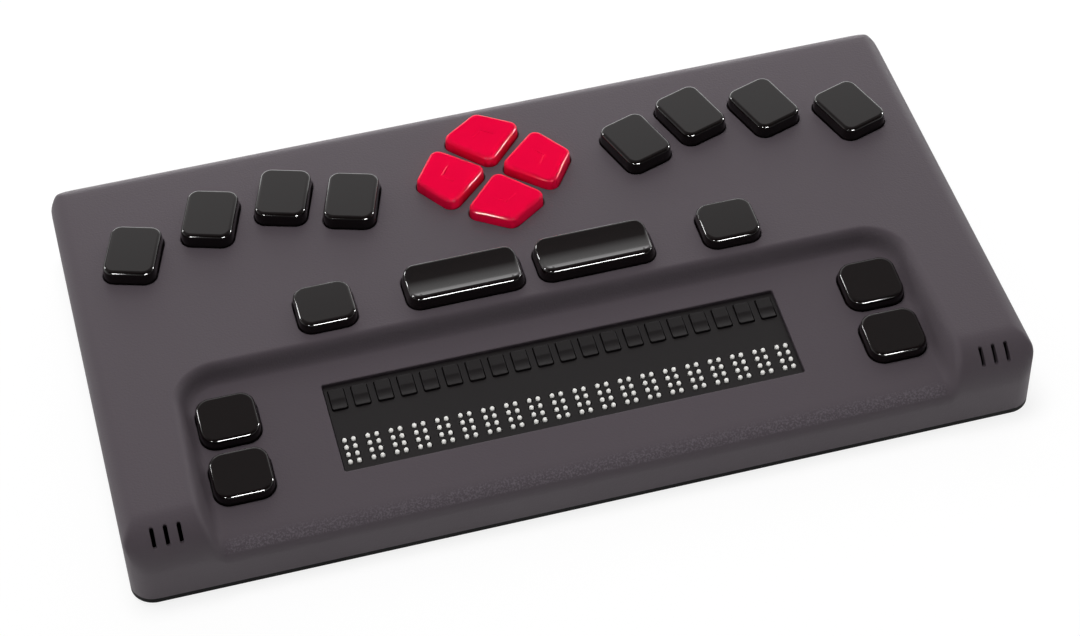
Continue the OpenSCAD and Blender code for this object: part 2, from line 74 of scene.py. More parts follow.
# All shapes below are worked out in millimetres and scaled once, when their mesh is made.
MM = 0.001
SIDES = ("left", "right")
# The first four belong to the left hand.
FINGERS = tuple(f"dot_key_{i}" for i in (1, 2, 3, 7, 4, 5, 6, 8))
ARROWS = {"arrow_key_right": 0, "arrow_key_up": 90, "arrow_key_left": 180, "arrow_key_down": 270}
SPACES = tuple(f"space_key_{side}" for side in SIDES)
FUNCTIONS = tuple(f"function_key_{side}" for side in SIDES)
PANNING = tuple(f"panning_key_{side}_{end}" for side in SIDES for end in ("rear", "front"))
CELLS = 20
ROUTING = tuple(f"routing_key_{i:02d}" for i in range(1, CELLS + 1))
PINS = tuple(f"pins_dot_{i}" for i in range(1, 9))


def linear(code):
    """Turns an sRGB hex colour into linear red, green, blue and a full alpha."""
    parts = [int(code[i:i + 2], 16) / 255 for i in (1, 3, 5)]
    return tuple(p / 12.92 if p <= 0.04045 else ((p + 0.055) / 1.055) ** 2.4 for p in parts) + (1.0,)


def length(name, size, text):
    """A size in millimetres as a property that the panel shows."""
    return bpy.props.FloatProperty(
        name=name, description=text, default=size * MM, min=0, unit="LENGTH", precision=5)


def paint(name, code, text):
    """A colour as a property that the panel shows."""
    return bpy.props.FloatVectorProperty(
        name=name, description=text, default=linear(code), size=4, min=0, max=1, subtype="COLOR")


def level(name, value, text):
    """A plain number as a property that the panel shows."""
    return bpy.props.FloatProperty(name=name, description=text, default=value, min=0)


class BrailleCasing(bpy.types.PropertyGroup):
    """Sizes and colours of the casing and the base."""
    colour: paint("Casing", "#595157", "Colour of the casing's plastic")
    base_colour: paint("Base", "#0a090a", "Colour of the base plate")
    foot_colour: paint("Feet", "#141415", "Colour of the rubber feet")
    front_roll: length("Front roll", 12, "Radius of the rolled front edge")
    shelf_roll: length("Shelf roll", 5, "Radius of the shelf's front edge")
    edge_roll: length("Edge roll", 5, "Radius of the side and rear top edges")
    corner: length("Corner", 6.5, "Corner radius seen from above")
    wall: length("Wall", 2.2, "Thickness of the casing's wall")
    lip: length("Lip", 0.2, "Round at the edge of a window")
    foot_blend: length("Foot blend", 3.0, "Softness of the foot of the shelf's walls")
    top_blend: length("Top blend", 2.8, "Softness of the top edge of the shelf's walls")
    grain: length("Grain", 0.6, "Width of the moulded grain")


class BrailleKeys(bpy.types.PropertyGroup):
    """Sizes and colours of the keys."""
    black: paint("Black keys", "#100808", "Colour of the black keys")
    red: paint("Red keys", "#ec083d", "Colour of the arrow keys")
    gap: length("Gap", 0.3, "Gap between a key and its window")
    rise: length("Rise", 4.1, "Height of a dot or space key's top above the casing")
    low_rise: length("Low rise", 3.4, "Height of an arrow, function or panning key's top")
    shoulder: length("Shoulder", 1.1, "Round along the top edge of the black keys")
    red_shoulder: length("Red shoulder", 1.2, "Round along the top edge of the arrow keys")
    slope: bpy.props.FloatProperty(
        name="Slope", description="Lean of a key's sides", default=math.radians(4), subtype="ANGLE")
    dish: length("Dish", 1.1, "Depth of the dish along a space key")
    mark: length("Mark", 0.1, "Height of the raised mark on an arrow key")


class BrailleLine(bpy.types.PropertyGroup):
    """Sizes and colours of the braille line."""
    cover_colour: paint("Cover", "#1b1718", "Colour of the cover and the routing keys")
    pin_colour: paint("Pins", "#fffefa", "Colour of the braille pins")
    pin_width: length("Pin width", 1.3, "Diameter of a braille pin")
    pin_length: length("Pin length", 6, "Length of a braille pin")
    routing_dish: length("Routing dish", 0.35, "Depth of the dish in a routing key")


class BrailleStage(bpy.types.PropertyGroup):
    """Floor, light and camera."""
    floor_colour: paint("Floor", "#ffffff", "Colour of the floor")
    horizon: level("Horizon", 1.6, "Strength of the sky at the horizon, to the sides and the rear")
    zenith: level("Zenith", 0.27, "Strength of the sky overhead")
    dark: level("Front", 0.18, "Share of the sky's strength that is left in front")
    panel: level("Panel", 1.2, "Strength of the lit panel behind the object")
    panel_foot: level("Panel foot", 3.5, "Extra strength of the panel at its foot")
    soft_power: level("Soft lamp", 20.0, "Watts of the large soft lamp above")
    fill_power: level("Fill lamp", 12.0, "Watts of the soft light in front of the red keys and the pins")
    front_power: level("Front lamp", 100.0, "Watts of the black keys' lamp in front")
    front_left_power: level("Front left lamp", 16.0, "Watts of the black keys' lamp in front on the left")
    left_power: level("Left lamp", 14.0, "Watts of the black keys' lamp behind on the left")
    right_power: level("Right lamp", 26.0, "Watts of the black keys' lamp on the right")
    red_front_power: level("Red front lamp", 240.0, "Watts of the red keys' lamp in front")
    red_left_power: level("Red left lamp", 190.0, "Watts of the red keys' lamp on the left")
    red_right_power: level("Red right lamp", 220.0, "Watts of the red keys' lamp on the right")


GROUPS = {"braille_casing": BrailleCasing, "braille_keys": BrailleKeys,
          "braille_line": BrailleLine, "braille_stage": BrailleStage}


def sizes(group, *names):
    """Properties of a group that are lengths, in millimetres."""
    return [getattr(group, name) / MM for name in names]


def box_mm(node):
    """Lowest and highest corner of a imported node, in millimetres."""
    low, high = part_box(node)
    return np.array(low) / MM, np.array(high) / MM


def middle_mm(node):
    """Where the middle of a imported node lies, seen from above."""
    return np.mean(box_mm(node), axis=0)[:2]


SHELL_LOW, SHELL_HIGH = box_mm("upper_shell")
HALF_W, HALF_D, TOP, SPLIT = SHELL_HIGH[0], SHELL_HIGH[1], SHELL_HIGH[2], SHELL_LOW[2]

# The display shelf: foot of its rear wall, half width, corner, tilt of the floor and lean of the walls.
FOOT_Y, FOOT_Z = -13.9, TOP - 5
SHELF_HALF, SHELF_R = 101.0, 9.0
TILT = math.radians(4.35)
WALL_SLOPE = 1 / math.tan(math.radians(25))
SHELF = Matrix.Translation((0, FOOT_Y, FOOT_Z)) @ Matrix.Rotation(TILT, 4, "X")


def shelf_place(node, middle):
    """Place on the shelf of a node whose widest part lies at a height middle in the shelf's frame."""
    x, y = middle_mm(node)
    return x, (y - FOOT_Y + middle * math.sin(TILT)) / math.cos(TILT)


# Shaders

WHITE = (1.0, 1.0, 1.0, 1.0)
# Where most values of a noise lie.
NOISE_SPAN = (0.3, 0.7)
# Millimetres over which a colour and a roughness wander.
DRIFT_WIDTH = 28


def add_node(tree, kind, settings=None, inputs=None):
    """Adds a node with its settings, and gives its inputs a value, a link or another node's first output."""
    node = tree.nodes.new(kind)
    for key, value in (settings or {}).items():
        setattr(node, key, value)
    for key, value in (inputs or {}).items():
        if isinstance(value, bpy.types.Node):
            value = value.outputs[0]
        if isinstance(value, bpy.types.NodeSocket):
            tree.links.new(value, node.inputs[key])
        else:
            node.inputs[key].default_value = value
    return node


def empty_tree(owner):
    """Node tree of a new material or world, with nothing in it."""
    owner.use_nodes = True
    owner.node_tree.nodes.clear()
    return owner.node_tree


def coordinates(tree, kind="Object"):
    return add_node(tree, "ShaderNodeTexCoord").outputs[kind]


def parts(tree, vector):
    """The three numbers of a vector, under their letters."""
    return add_node(tree, "ShaderNodeSeparateXYZ", inputs={"Vector": vector}).outputs


def noise(tree, where, width, detail=2.0, rough=0.5):
    """Noise with spots about so many millimetres wide."""
    return add_node(tree, "ShaderNodeTexNoise", inputs={
        "Vector": where, "Scale": 1 / (width * MM), "Detail": detail, "Roughness": rough}).outputs["Fac"]


def ramp(tree, value, span, ends, bend="LINEAR"):
    """A number that runs between two ends while the value runs through a span."""
    return add_node(tree, "ShaderNodeMapRange", {"interpolation_type": bend}, {
        "Value": value, "From Min": span[0], "From Max": span[1],
        "To Min": ends[0], "To Max": ends[1]}).outputs["Result"]


def reckon(tree, operation, *values, clamp=False):
    """One number worked out from others."""
    return add_node(tree, "ShaderNodeMath", {"operation": operation, "use_clamp": clamp},
                    dict(enumerate(values))).outputs["Value"]


def show_mix(tree, share, first, second, output):
    """Hands two mixed shaders to the output, with a share of the second."""
    both = add_node(tree, "ShaderNodeMixShader", inputs={0: share, 1: first, 2: second})
    add_node(tree, output, inputs={"Surface": both})


def moulded(name, colour, grain, depth, rough, spread, drift, ior=1.5, stretch=(1, 1, 1)):
    """A moulded or rubbed surface: a grain of the given width and depth in millimetres, a roughness that
    wanders by spread either way, and a colour that drifts by a share of itself over a few centimetres."""
    material = bpy.data.materials.new(name)
    tree = empty_tree(material)
    where = add_node(tree, "ShaderNodeMapping", inputs={"Vector": coordinates(tree), "Scale": stretch})
    broad = noise(tree, where, DRIFT_WIDTH, detail=4.0)
    shade = ramp(tree, broad, NOISE_SPAN, (1 - drift, 1 + drift))
    tint = add_node(tree, "ShaderNodeMix", {"data_type": "RGBA", "blend_type": "MULTIPLY"}, {
        "Factor": 1.0, 6: tuple(colour), 7: shade}).outputs[2]
    gloss = ramp(tree, broad, NOISE_SPAN, (rough - spread, rough + spread))
    relief = add_node(tree, "ShaderNodeBump", inputs={
        "Height": noise(tree, where, grain, rough=0.6), "Strength": 1.0, "Distance": depth * MM})
    skin = add_node(tree, "ShaderNodeBsdfPrincipled", inputs={
        "Base Color": tint, "Roughness": gloss, "Normal": relief, "IOR": ior})
    add_node(tree, "ShaderNodeOutputMaterial", inputs={"Surface": skin})
    return material


def plate(tree, skin):
    """Turns a surface into bare metal."""
    skin.inputs["Metallic"].default_value = 1.0


def rub_edge(tree, skin):
    """Paints a highlight along the shelf's front edge: a faint band of pale speckle that stands in for a
    lamp's glints on the grain.
    """
    where = coordinates(tree)
    place = parts(tree, where)
    # Painted glints about 0.5 mm wide, drawn coarser than the grain so that they show.
    share = ramp(tree, noise(tree, where, 0.5, rough=0.6), (0.45, 0.65), (0.08, 0.75))
    aside = reckon(tree, "ABSOLUTE", place["X"])
    # The painted highlight fades to the front, to the rear and at both ends; places in millimetres.
    for value, start, end, ends in ((place["Y"], -68.4, -67.9, (0, 1)), (place["Y"], -66.8, -63.8, (1, 0)),
                                    (aside, 97, 102, (1, 0))):
        fade = ramp(tree, value, (start * MM, end * MM), ends, "SMOOTHSTEP")
        share = reckon(tree, "MULTIPLY", share, fade)
    tint = skin.inputs["Base Color"].links[0].from_socket
    pale = add_node(tree, "ShaderNodeMix", {"data_type": "RGBA"}, {
        "Factor": share, 6: tint, 7: linear("#7b747b")}).outputs[2]
    tree.links.new(pale, skin.inputs["Base Color"])


def dull_top(tree, skin):
    """Takes the shine off the level faces and leaves it on the rounded edges around them."""
    upright = parts(tree, coordinates(tree, "Normal"))["Z"]
    tree.links.new(ramp(tree, upright, (0.97, 0.995), (0.5, 0.0)), skin.inputs["Specular IOR Level"])


def print_tracks(tree, skin):
    """Straight copper tracks, about 0.6 mm wide at 2.5 mm spacing, under the solder mask."""
    tracks = add_node(tree, "ShaderNodeTexBrick", {"offset": 0.5}, {
        "Vector": coordinates(tree), "Scale": 1 / (10 * MM), "Brick Width": 1.0, "Row Height": 0.25,
        "Mortar Size": 0.03, "Color1": linear("#1d4a31"), "Color2": linear("#1a432c"),
        "Mortar": linear("#3d7a52")})
    tree.links.new(tracks.outputs["Color"], skin.inputs["Base Color"])


def finish(name):
    """The material of that name, made when it is first asked for."""
    made = bpy.data.materials.get(name)
    if made:
        return made
    scene = bpy.context.scene
    casing, keys, line = scene.braille_casing, scene.braille_keys, scene.braille_line
    # Colour, width and depth of the grain, roughness, its spread, the colour's drift, IOR and stretch.
    rows = {
        # Spark-eroded mould grain: dull sheen that breaks into fine speckle where a lamp grazes it.
        # The real grain is about 0.2 mm wide; it is drawn 0.6 mm wide so that it shows.
        "Grained ABS, casing": (casing.colour, casing.grain / MM, 0.07, 0.54, 0.04, 0.02, 1.38),
        # The same mould grain in black: a dark line that hardly shines.
        "Grained ABS, base": (casing.base_colour, 0.6, 0.05, 0.7, 0.05, 0.05, 1.25),
        # Polished mould: deep black, sharp lines of light on the shoulders, very faint ripple.
        "Polished ABS, black keys": (keys.black, 3.0, 0.003, 0.1, 0.02, 0.06, 1.46),
        # Polished mould in solid red with a matt flat on top: lights stand pink on the shoulders alone,
        # and the tops keep their saturated colour.
        "Polished ABS, red keys": (keys.red, 3.0, 0.003, 0.1, 0.02, 0.03, 1.16),
        # Matt polycarbonate: even dark face with a low sheen.
        "Matt polycarbonate, cover": (line.cover_colour, 0.5, 0.02, 0.48, 0.04, 0.04),
        # Natural acetal, turned and tumbled: bright waxy white with a soft light on each dome.
        "Tumbled acetal, pins": (line.pin_colour, 0.5, 0.004, 0.36, 0.04, 0.02),
        # Moulded rubber: black, dull and slightly dusty.
        "Moulded rubber, feet": (casing.foot_colour, 0.5, 0.03, 0.8, 0.06, 0.12),
        # Glass-filled resin: pale grey, dull, with fibre streaks along the cell.
        "Moulded resin, cells": (linear("#8b8a86"), 0.6, 0.02, 0.55, 0.05, 0.06, 1.5, (1, 0.2, 1)),
        # Fibreglass under green solder mask: the tracks show as paler bands through the mask.
        "Fibreglass board, green mask": (linear("#1d4a31"), 0.8, 0.01, 0.35, 0.05, 0.08),
        # Nylon housings: dark grey, waxy.
        "Moulded nylon, switches": (linear("#3a3a3c"), 0.5, 0.015, 0.45, 0.05, 0.06),
        # Shrink film over a flat cell: blue, glossy, with soft creases.
        "Shrink film, battery": (linear("#27406e"), 6.0, 0.12, 0.3, 0.05, 0.08),
        # Moulded plastic round the speakers: near black and dull, so that the slots look empty.
        "Moulded housing, speakers": (linear("#2a2a2c"), 0.6, 0.03, 0.55, 0.05, 0.06),
        # Drawn steel, nickel plated: warm grey with streaks along the drawing direction.
        "Nickel-plated steel, inlet": (linear("#b8b6b0"), 0.4, 0.004, 0.28, 0.06, 0.04, 1.5, (1, 0.1, 1)),
        # Zinc plate: cooler and duller than nickel.
        "Zinc-plated steel, screws": (linear("#a2a6aa"), 0.3, 0.008, 0.36, 0.06, 0.04, 1.5, (1, 1, 0.3)),
    }
    # The casing's colour gets a painted highlight: a band of pale speckle along the shelf's front edge.
    later = {"Grained ABS, casing": rub_edge, "Polished ABS, red keys": dull_top,
             "Fibreglass board, green mask": print_tracks, "Nickel-plated steel, inlet": plate,
             "Zinc-plated steel, screws": plate}
    material = moulded(name, *rows[name])
    if name in later:
        tree = material.node_tree
        later[name](tree, tree.nodes["Principled BSDF"])
    return material


# Mesh making

def smooth_mesh(name, points, faces, crease):
    """A smooth mesh from points in millimetres, left sharp where faces bend by more than the crease."""
    mesh = bpy.data.meshes.new(name)
    mesh.from_pydata((np.asarray(points, float) * MM).tolist(), [], faces)
    mesh.update()
    mesh.shade_smooth()
    mesh.set_sharp_from_angle(angle=math.radians(crease))
    return mesh


def make_piece(name, points, faces, material, body, nodes, crease):
    """One finished piece in the shared frame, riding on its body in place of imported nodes."""
    place_piece(name, smooth_mesh(name, points, faces, crease), material, body, nodes)


def place_piece(name, mesh, material, body, nodes):
    """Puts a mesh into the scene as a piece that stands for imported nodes."""
    mesh.materials.clear()
    mesh.materials.append(finish(material))
    piece = bpy.data.objects.new(name, mesh)
    bpy.context.collection.objects.link(piece)
    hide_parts(*nodes)
    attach(piece, body)


def dress(node, material):
    """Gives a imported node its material."""
    piece = frame["nodes"][node]
    piece.data.materials.clear()
    piece.data.materials.append(finish(material))


def round_outline(corners, radius, steps=8, spacing=None):
    """Points round an outline with the given corner centres, and the outward direction at each.
    The corners run anticlockwise; spacing puts more points along the straight edges."""
    corners = np.asarray(corners, float)
    points, ways = [], []
    for i, corner in enumerate(corners):
        back, ahead = corner - corners[i - 1], corners[(i + 1) % len(corners)] - corner
        start = math.atan2(-back[0], back[1])
        turn = (math.atan2(-ahead[0], ahead[1]) - start) % math.tau
        for k in range(steps + 1):
            way = np.array([math.cos(start + turn * k / steps), math.sin(start + turn * k / steps)])
            points.append(corner + radius * way)
            ways.append(way)
        extra = int(np.hypot(*ahead) // spacing) if spacing else 0
        for k in range(1, extra + 1):
            points.append(corner + radius * ways[-1] + ahead * k / (extra + 1))
            ways.append(ways[-1])
    return np.array(points), np.array(ways)


def rect_corners(width, depth, radius):
    """Corner centres of a rectangle with round corners."""
    x, y = width / 2 - radius, depth / 2 - radius
    return [(-x, -y), (x, -y), (x, y), (-x, y)]


def ring_edges(first, count):
    """Edges that close a ring of points, by their numbers."""
    return [(first + i, first + (i + 1) % count) for i in range(count)]


def raised(flat, height):
    """Flat points lifted to one height, or each to its own."""
    return np.column_stack([flat, np.broadcast_to(height, len(flat))])


def fill(points, edges):
    """Triangles over the flat convex spread of the points, with the edges kept."""
    made = delaunay_2d_cdt([Vector(p) for p in points], edges, [], 0, 1e-6)
    source = made[3]
    if any(not s for s in source):
        raise RuntimeError("two outlines cross each other")
    return [[source[v][0] for v in face] for face in made[2]]


def loft(rings):
    """Points and faces of a skin through rings of equal count, anticlockwise and upwards from a cap."""
    count = len(rings[0])
    faces = []
    for r in range(len(rings) - 1):
        low, high = r * count, (r + 1) * count
        faces += [(low + i, low + j, high + j, high + i) for i, j in ring_edges(0, count)]
    faces.append(tuple(reversed(range(count))))
    return np.concatenate(rings), faces


# Heights and widths of a key below its lid, in its own frame.
SKIRT = 0.4
FLANGE = {"top": -2.5, "low": -3.7, "width": 1.0, "stem": 2.0, "stem_low": -6.6}
ROUTING_FLANGE = {"top": -2.5, "low": -3.1, "width": 0.45, "stem": 1.3, "stem_low": -3.3}
SHOULDER_STEPS = 9
LID_RIM = 0.15


def stalk(outline, ways, middle, flange):
    """Rings of a key's stem and flange, up to its outline."""
    away = outline - middle
    stem = middle + flange["stem"] * away / np.linalg.norm(away, axis=1)[:, None]
    wide = outline + flange["width"] * ways
    return [raised(flat, flange[z]) for flat, z in (
        (stem, "stem_low"), (stem, "low"), (wide, "low"), (wide, "top"), (outline, "top"))]


def cap_profile(rise, shoulder, slope):
    """Offset and height along a key's side: a short upright skirt, a leaning side and a round shoulder."""
    edge = (rise - SKIRT) * math.tan(slope)
    reach = shoulder * (1 - math.sin(slope)) / math.cos(slope)
    rows = [(0.0, SKIRT)]
    for a in np.linspace(slope, math.pi / 2, SHOULDER_STEPS + 1):
        rows.append((shoulder * math.cos(a) - edge - reach, rise - shoulder + shoulder * math.sin(a)))
    return rows + [(-edge - reach - LID_RIM, rise)]


def key_cap(corners, radius, rise, shoulder, slope, spacing=None):
    """Rings of a key from its stem to the edge of its lid."""
    outline, ways = round_outline(corners, radius, spacing=spacing)
    side = [raised(outline + offset * ways, z) for offset, z in cap_profile(rise, shoulder, slope)]
    return stalk(outline, ways, np.mean(corners, axis=0), FLANGE) + side


def close_lid(rings, inside, loops, height):
    """Skin of the rings with a lid on top, shaped by kept loops, inner points and their heights."""
    points, faces = loft(rings)
    rim = rings[-1][:, :2]
    first = len(points) - len(rim)
    flat, edges = [*rim], ring_edges(0, len(rim))
    for loop in loops:
        edges += ring_edges(len(flat), len(loop))
        flat += [*loop]
    flat += [*inside]
    more = np.array(flat[len(rim):]).reshape(-1, 2)
    tops = raised(more, np.array([height(i, p) for i, p in enumerate(more)], float))
    faces += [[first + v for v in face] for face in fill(flat, edges)]
    return np.concatenate([points, tops]), faces


def put(points, matrix):
    """Moves points by a matrix."""
    grid = np.array(matrix)
    return points @ grid[:3, :3].T + grid[:3, 3]


def top_frame(x, y, turn=0.0):
    """Frame of a key in the casing's top face."""
    return Matrix.Translation((x, y, TOP)) @ Matrix.Rotation(math.radians(turn), 4, "Z")


def shelf_frame(node, flange):
    """Frame of a key in the shelf's floor, whose flange is its widest part."""
    return SHELF @ Matrix.Translation((*shelf_place(node, (flange["top"] + flange["low"]) / 2), 0))


# Outlines of the keys, in the frame of each

DOT_SIZE, DOT_R, HAND_TURN = (15, 19.2), 3.4, 18.5
SPACE_SIZE, SPACE_R = (33.7, 14.3), 3.8
FUNCTION_SIZE, FUNCTION_R = (16.6, 15.4), 4.0
PAN_SIZE, PAN_R = (16.6, 15.4), 4.3
ARROW_R = 2.8
KITE = [(3.05 + ARROW_R, 0), (14.55, ARROW_R - 10.8), (22.75 - ARROW_R, 0), (14.55, 10.8 - ARROW_R)]
ROUTING_SIZE, ROUTING_R = (4.2, 6.8), 0.6
COVER_SIZE, COVER_GAP, COVER_MIDDLE = (128.4, 29.3), 0.25, -1.7


@functools.cache
def key_frames():
    """Frame, corner centres and corner radius of every key that has a window in the casing."""
    keys = {}
    for i, node in enumerate(FINGERS):
        place = top_frame(*middle_mm(node), -HAND_TURN if i < 4 else HAND_TURN)
        keys[node] = (place, rect_corners(*DOT_SIZE, DOT_R), DOT_R)
    middle = np.mean([middle_mm(node) for node in ARROWS], axis=0)
    for node, turn in ARROWS.items():
        keys[node] = (top_frame(*middle, turn), KITE, ARROW_R)
    for nodes, size, radius in ((SPACES, SPACE_SIZE, SPACE_R), (FUNCTIONS, FUNCTION_SIZE, FUNCTION_R)):
        for node in nodes:
            keys[node] = (top_frame(*middle_mm(node)), rect_corners(*size, radius), radius)
    for node in PANNING:
        keys[node] = (shelf_frame(node, FLANGE), rect_corners(*PAN_SIZE, PAN_R), PAN_R)
    return keys


# Casing

# Pitch of the mesh, rows over a side or rear edge and rows over the front roll.
PITCH, EDGE_ROWS, FRONT_ROWS = 2.6, 11, 18
# Rows along the shelf's walls, by their distance from the foot, and what the plain mesh leaves free for them.
WALL_ROWS = (*np.arange(-1.8, 6.3, 0.36), 7.2)
WALL_FREE = (-2.8, 8.2)
CORNER_TURNS, REAR_STEPS = np.linspace(0, math.pi / 2, 13), 72
# Steps round a window's lip in degrees, the ring beyond it, and what the mesh keeps off that ring.
LIP_TURNS, LIP_RING, RING_FREE = (90, 60, 30, 0), 0.3, 0.35
COVER_LIP = 0.25
# Speaker slots: how far the middle one lies within the speaker's outer side, pitch, half length, half width
# and lip, and the turn over the front roll at which they lie.
SLOT = {"inset": 3.0, "pitch": 3.6, "half": 2.35, "radius": 0.55, "lip": 0.2, "turn": 37.5}
# Half the width of the rear wall's middle, which takes the inlet's opening, and the gap round the inlet.
INLET_HALF, INLET_GAP = 13, 0.2
TINY = 1e-6


def fold(s, half, r_low, r_high, inset=0.0):
    """Place and drop over the rolled edges of a point at s along the flattened skin."""
    a = np.clip((r_low - half - s) / r_low, 0, None)
    b = np.clip((s - half + r_high) / r_high, 0, None)
    low, high = r_low - inset, r_high - inset
    place = np.clip(s, r_low - half, half - r_high) - low * np.sin(a) + high * np.sin(b)
    return place, low * (1 - np.cos(a)) + high * (1 - np.cos(b))


def unfold(x, half, r_low, r_high):
    """Where a place on the casing lies along the flattened skin."""
    a = np.arcsin(np.clip((r_low - half - x) / r_low, 0, 1))
    b = np.arcsin(np.clip((x - half + r_high) / r_high, 0, 1))
    return np.clip(x, r_low - half, half - r_high) - r_low * a + r_high * b


def soft_min(a, b, k):
    """The lesser of two heights, with a soft bend where they meet."""
    h = np.clip(k - np.abs(a - b), 0, None) / k
    return np.minimum(a, b) - h * h * k / 4


def shelf_distance(x, y):
    """Distance outwards from the foot of the shelf's walls; the shelf is open to the front."""
    dx = np.abs(x) - (SHELF_HALF - SHELF_R)
    dy = y - (FOOT_Y - SHELF_R)
    outside = np.hypot(np.clip(dx, 0, None), np.clip(dy, 0, None))
    return outside + np.minimum(np.maximum(dx, dy), 0) - SHELF_R


class CasingSkin:
    """The casing's outer and inner skin, worked out on the flattened top and folded over the edges."""

    def __init__(self, settings):
        names = ("front_roll", "shelf_roll", "edge_roll", "corner", "wall", "lip", "foot_blend", "top_blend")
        (self.front, self.shelf, self.edge, self.corner,
         self.wall, self.lip, self.foot, self.brow) = sizes(settings, *names)

    def height(self, x, y):
        """Height of the top face, with the shelf sunk into it between soft walls."""
        def drop(radius):
            return radius - np.sqrt(radius ** 2 - np.clip(radius - HALF_D - y, 0, radius) ** 2)
        # The shelf's front edge is tighter than the roll that the whole skin is folded over.
        floor = FOOT_Z + (y - FOOT_Y) * math.tan(TILT) + drop(self.front) - drop(self.shelf)
        rise = -soft_min(np.zeros_like(x), -shelf_distance(x, y) * WALL_SLOPE, self.foot)
        return soft_min(np.full_like(x, TOP), floor + rise, self.brow)

    def flat(self, x, y):
        """Flattened place of a point on the top."""
        return np.column_stack([
            unfold(x, HALF_W, self.edge, self.edge), unfold(y, HALF_D, self.front, self.edge)])

    def unflat(self, flat, inset=0.0):
        """Place of a flattened point seen from above, and how far it drops over the edges."""
        x, drop_x = fold(flat[:, 0], HALF_W, self.edge, self.edge, inset)
        y, drop_y = fold(flat[:, 1], HALF_D, self.front, self.edge, inset)
        return x, y, drop_x, drop_y

    def surface(self, flat, sink=0.0, inset=0.0):
        """Points of the outer skin, or of the inner one when inset by the wall."""
        x, y, drop_x, drop_y = self.unflat(flat, inset)
        z = self.height(*self.unflat(flat)[:2]) - inset - (drop_x ** 5 + drop_y ** 5) ** 0.2 - sink
        core_x, core_y, reach = HALF_W - self.corner, HALF_D - self.corner, self.corner - inset
        p = np.clip((np.abs(x) - core_x) / reach, 0, 1)
        q = np.clip((np.abs(y) - core_y) / reach, 0, 1)
        x = np.where(p > 0, np.sign(x) * (core_x + reach * p * np.sqrt(1 - q * q / 2)), x)
        y = np.where(q > 0, np.sign(y) * (core_y + reach * q * np.sqrt(1 - p * p / 2)), y)
        return np.column_stack([x, y, z])

    def rows(self):
        """Spacing of the flattened grid in both directions."""
        def steps(half, r_low, r_high, n_low):
            ends = unfold(np.array([-half, half]), half, r_low, r_high)
            count = int((2 * half - r_low - r_high) / PITCH)
            return np.concatenate([
                np.linspace(ends[0], r_low - half, n_low, endpoint=False),
                np.linspace(r_low - half, half - r_high, count, endpoint=False),
                np.linspace(half - r_high, ends[1], EDGE_ROWS + 1)])
        return (steps(HALF_W, self.edge, self.edge, EDGE_ROWS),
                steps(HALF_D, self.front, self.edge, FRONT_ROWS))

    def shelf_rows(self, vs):
        """Points in rows along the shelf's soft walls, closer together across the bends."""
        core_x, core_y = SHELF_HALF - SHELF_R, FOOT_Y - SHELF_R
        points = []
        for t in WALL_ROWS:
            for v in vs:
                y, _ = fold(np.array([v]), HALF_D, self.front, self.edge)
                if y[0] < core_y:
                    for side in (-1, 1):
                        points.append((*self.flat(np.array([side * (SHELF_HALF + t)]), y)[0, :1], v))
            for a in CORNER_TURNS:
                for side in (-1, 1):
                    points.append((side * (core_x + (SHELF_R + t) * math.cos(a)),
                                   core_y + (SHELF_R + t) * math.sin(a)))
            points += [(x, FOOT_Y + t) for x in np.linspace(-core_x, core_x, REAR_STEPS)[1:-1]]
        return np.array(points)


def window_loops(skin, gap):
    """Rings round every opening on the flattened skin, from its edge outwards, and how far each sinks."""
    openings = []

    def add(to_flat, corners, radius, lip, spacing=2.5):
        outline, ways = round_outline(corners, radius, spacing=spacing)
        rings = []
        for a in map(math.radians, LIP_TURNS):
            rings.append((to_flat(outline + lip * (1 - math.sin(a)) * ways), lip * (1 - math.cos(a))))
        rings.append((to_flat(outline + (lip + LIP_RING) * ways), 0.0))
        openings.append(rings)

    for key_frame, corners, radius in key_frames().values():
        def to_flat(outline, at=key_frame):
            world = put(raised(outline, 0.0), at)
            return skin.flat(world[:, 0], world[:, 1])
        add(to_flat, corners, radius + gap, skin.lip)

    def cover_flat(outline):
        return skin.flat(outline[:, 0], FOOT_Y + outline[:, 1] * math.cos(TILT))
    width, depth = COVER_SIZE[0] + 2 * COVER_GAP, COVER_SIZE[1] + 2 * COVER_GAP
    y = shelf_place("cell_cover", COVER_MIDDLE)[1]
    add(cover_flat, np.array(rect_corners(width, depth, ROUTING_R)) + (0, y), ROUTING_R, COVER_LIP)

    # Three slots over the rolled front edge at each side, in front of the speakers.
    speaker_x = box_mm("speakers")[1][0] - SLOT["inset"]
    middle = skin.front * (1 - math.radians(SLOT["turn"])) - HALF_D
    for side in (-1, 1):
        for i in (-1, 0, 1):
            x = side * speaker_x + SLOT["pitch"] * i
            ends = [(x, middle - SLOT["half"]), (x, middle + SLOT["half"])]
            add(lambda outline: outline, ends, SLOT["radius"], SLOT["lip"], 0.8)
    return openings


def inside_convex(points, loop, grow=0.0):
    """Which points lie inside a convex loop, grown by a distance."""
    ahead = np.roll(loop, -1, axis=0) - loop
    size = np.hypot(ahead[:, 0], ahead[:, 1])
    keep = size > 1e-9
    ways = np.column_stack([ahead[keep, 1], -ahead[keep, 0]]) / size[keep, None]
    reach = np.einsum("ij,ij->i", ways, loop[keep])
    return np.all(points @ ways.T - reach < grow, axis=1)


